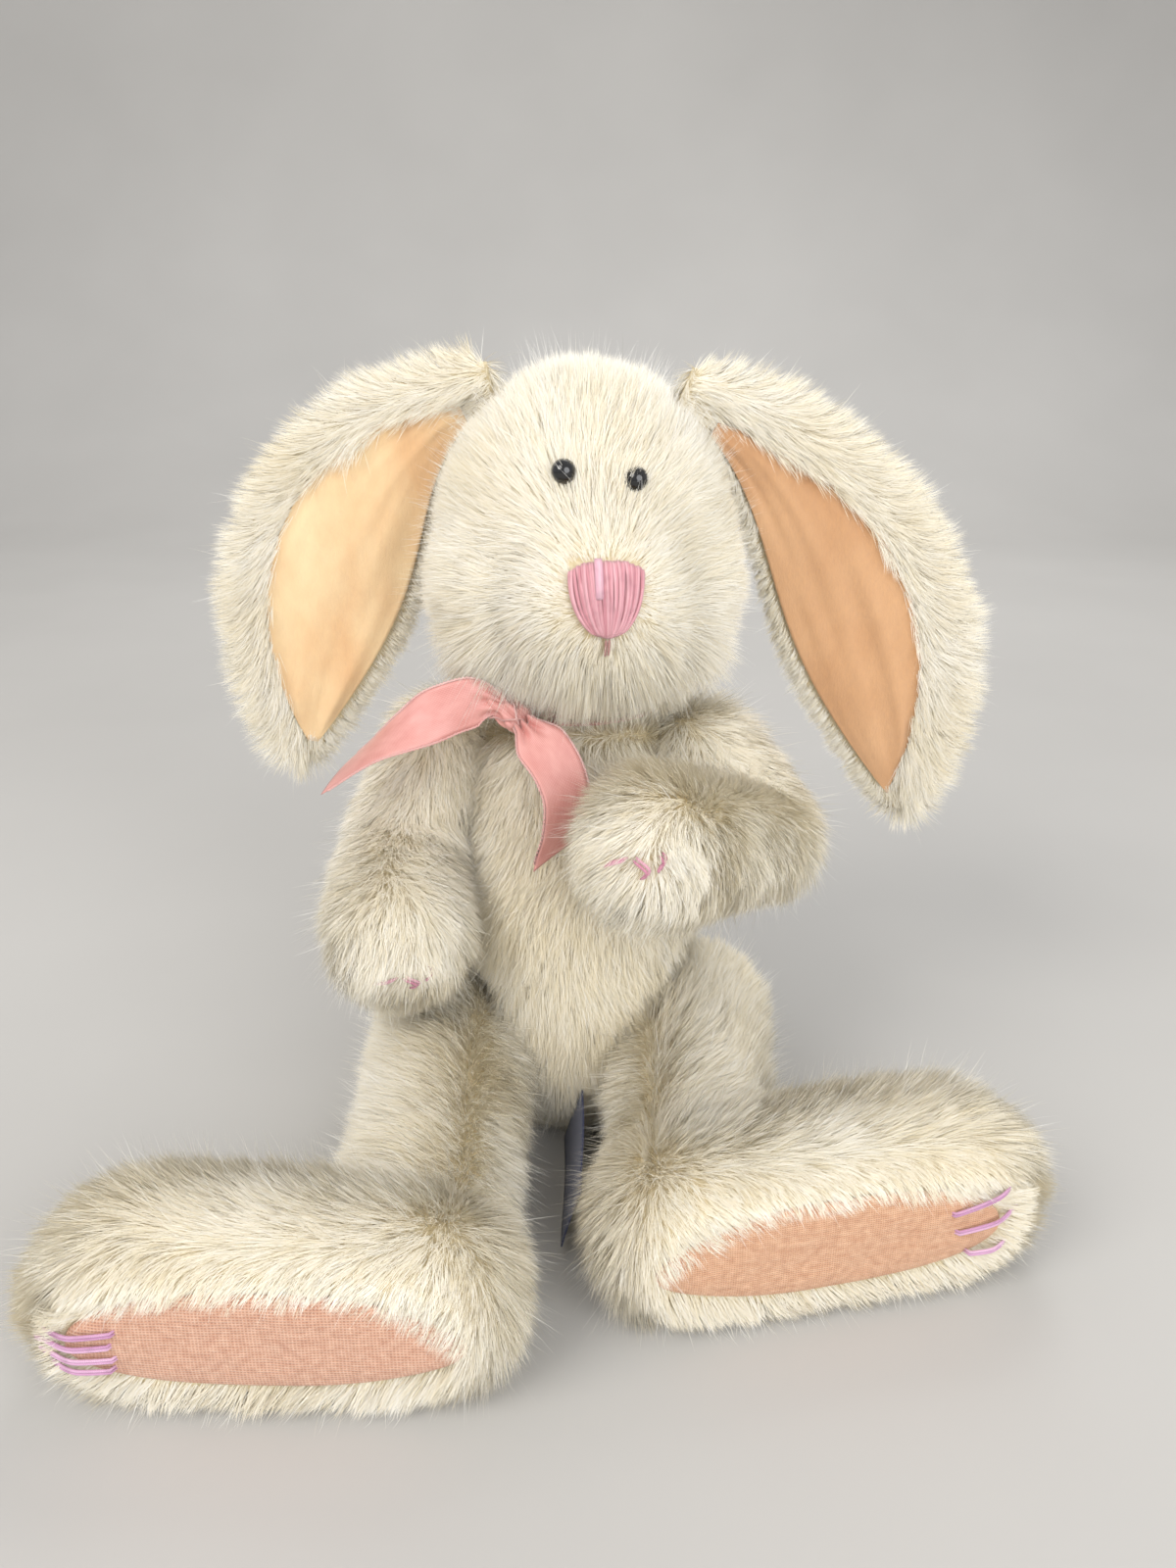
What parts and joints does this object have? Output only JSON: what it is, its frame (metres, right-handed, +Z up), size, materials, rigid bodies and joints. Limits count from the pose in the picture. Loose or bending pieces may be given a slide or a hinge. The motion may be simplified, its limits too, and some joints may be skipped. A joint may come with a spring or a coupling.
{
  "type": "stuffed bunny rabbit",
  "caption": "Seated cream plush bunny with lop ears, long outturned feet, a satin neck ribbon, and disc-jointed head, arms and legs that stay where they are put",
  "frame": {"origin": "middle of the flat patch of the seat, on the surface that the bunny sits on", "axes": "+Z up, -Y the way the bunny faces, +X to the bunny's left"},
  "size_m": [0.2201, 0.1667, 0.2047],
  "materials": {
    "pile_fabric": "long combed cream pile",
    "stuffing_fibre": "loose polyester fibre",
    "suede_lining": "napped peach suede cloth",
    "linen_pad": "plain linen weave",
    "satin_ribbon": "satin with stitched edges",
    "nose_thread": "glossy embroidery floss",
    "lilac_thread": "glossy embroidery floss",
    "bead": "polished black",
    "joint_plastic": "moulded",
    "lock_steel": "stamped spring steel",
    "tag_weave": "plain woven tape"
  },
  "bodies": {
    "torso": {"torso_cover": "pile_fabric", "torso_stuffing": "stuffing_fibre", "tail_cover": "pile_fabric", "tail_stuffing": "stuffing_fibre", "sewn_tag": "tag_weave", "neck_washer": "joint_plastic", "right_shoulder_washer": "joint_plastic", "left_shoulder_washer": "joint_plastic", "right_hip_washer": "joint_plastic", "left_hip_washer": "joint_plastic", "ribbon_loop": "satin_ribbon", "ribbon_knot": "satin_ribbon", "ribbon_right_tail": "satin_ribbon", "ribbon_left_tail": "satin_ribbon"},
    "head": {"head_cover": "pile_fabric", "head_stuffing": "stuffing_fibre", "right_eye": "bead", "left_eye": "bead", "right_eye_washer": "lock_steel", "left_eye_washer": "lock_steel", "nose_stitching": "nose_thread", "mouth_stitch": "nose_thread", "neck_stem_disc": "joint_plastic", "neck_lock_washer": "lock_steel"},
    "right_ear": {"right_ear_cover": "pile_fabric", "right_ear_lining": "suede_lining"},
    "right_arm": {"right_arm_cover": "pile_fabric", "right_arm_stuffing": "stuffing_fibre", "right_claw_stitches": "lilac_thread", "right_shoulder_stem_disc": "joint_plastic", "right_shoulder_lock_washer": "lock_steel"},
    "right_leg": {"right_leg_cover": "pile_fabric", "right_leg_stuffing": "stuffing_fibre", "right_foot_pad": "linen_pad", "right_toe_stitches": "lilac_thread", "right_hip_stem_disc": "joint_plastic", "right_hip_lock_washer": "lock_steel"},
    "left_ear": {"left_ear_cover": "pile_fabric", "left_ear_lining": "suede_lining"},
    "left_arm": {"left_arm_cover": "pile_fabric", "left_arm_stuffing": "stuffing_fibre", "left_claw_stitches": "lilac_thread", "left_shoulder_stem_disc": "joint_plastic", "left_shoulder_lock_washer": "lock_steel"},
    "left_leg": {"left_leg_cover": "pile_fabric", "left_leg_stuffing": "stuffing_fibre", "left_foot_pad": "linen_pad", "left_toe_stitches": "lilac_thread", "left_hip_stem_disc": "joint_plastic", "left_hip_lock_washer": "lock_steel"}
  },
  "joints": [
    {"name": "neck_turn", "type": "hinge", "parent": "torso", "child": "head", "pos_m": [0, 0.0251, 0.1157], "axis": [0, 0.2588, 0.9659], "range_deg": [-35, 35]},
    {"name": "right_shoulder", "type": "hinge", "parent": "torso", "child": "right_arm", "pos_m": [-0.0259, 0.01844, 0.10227], "axis": [-0.9962, -0.0872, 0], "range_deg": [-10, 90], "deforming": ["ribbon_right_tail"]},
    {"name": "left_shoulder", "type": "hinge", "parent": "torso", "child": "left_arm", "pos_m": [0.02511, 0.01398, 0.10227], "axis": [-0.9659, 0.2588, 0], "range_deg": [-18, 22]},
    {"name": "right_hip", "type": "hinge", "parent": "torso", "child": "right_leg", "pos_m": [-0.0205, -0.002, 0.024], "axis": [-0.9976, -0.0698, 0], "range_deg": [-80, 14]},
    {"name": "left_hip", "type": "hinge", "parent": "torso", "child": "left_leg", "pos_m": [0.0205, 0.003, 0.024], "axis": [-0.9903, 0.1392, 0], "range_deg": [-80, 25]},
    {"name": "right_ear_lift", "type": "hinge", "parent": "head", "child": "right_ear", "pos_m": [-0.02, 0.018, 0.199], "axis": [0, 1, 0], "range_deg": [-3, 50]},
    {"name": "left_ear_lift", "type": "hinge", "parent": "head", "child": "left_ear", "pos_m": [0.028, 0.018, 0.198], "axis": [0, -1, 0], "range_deg": [-3, 50]}
  ]
}
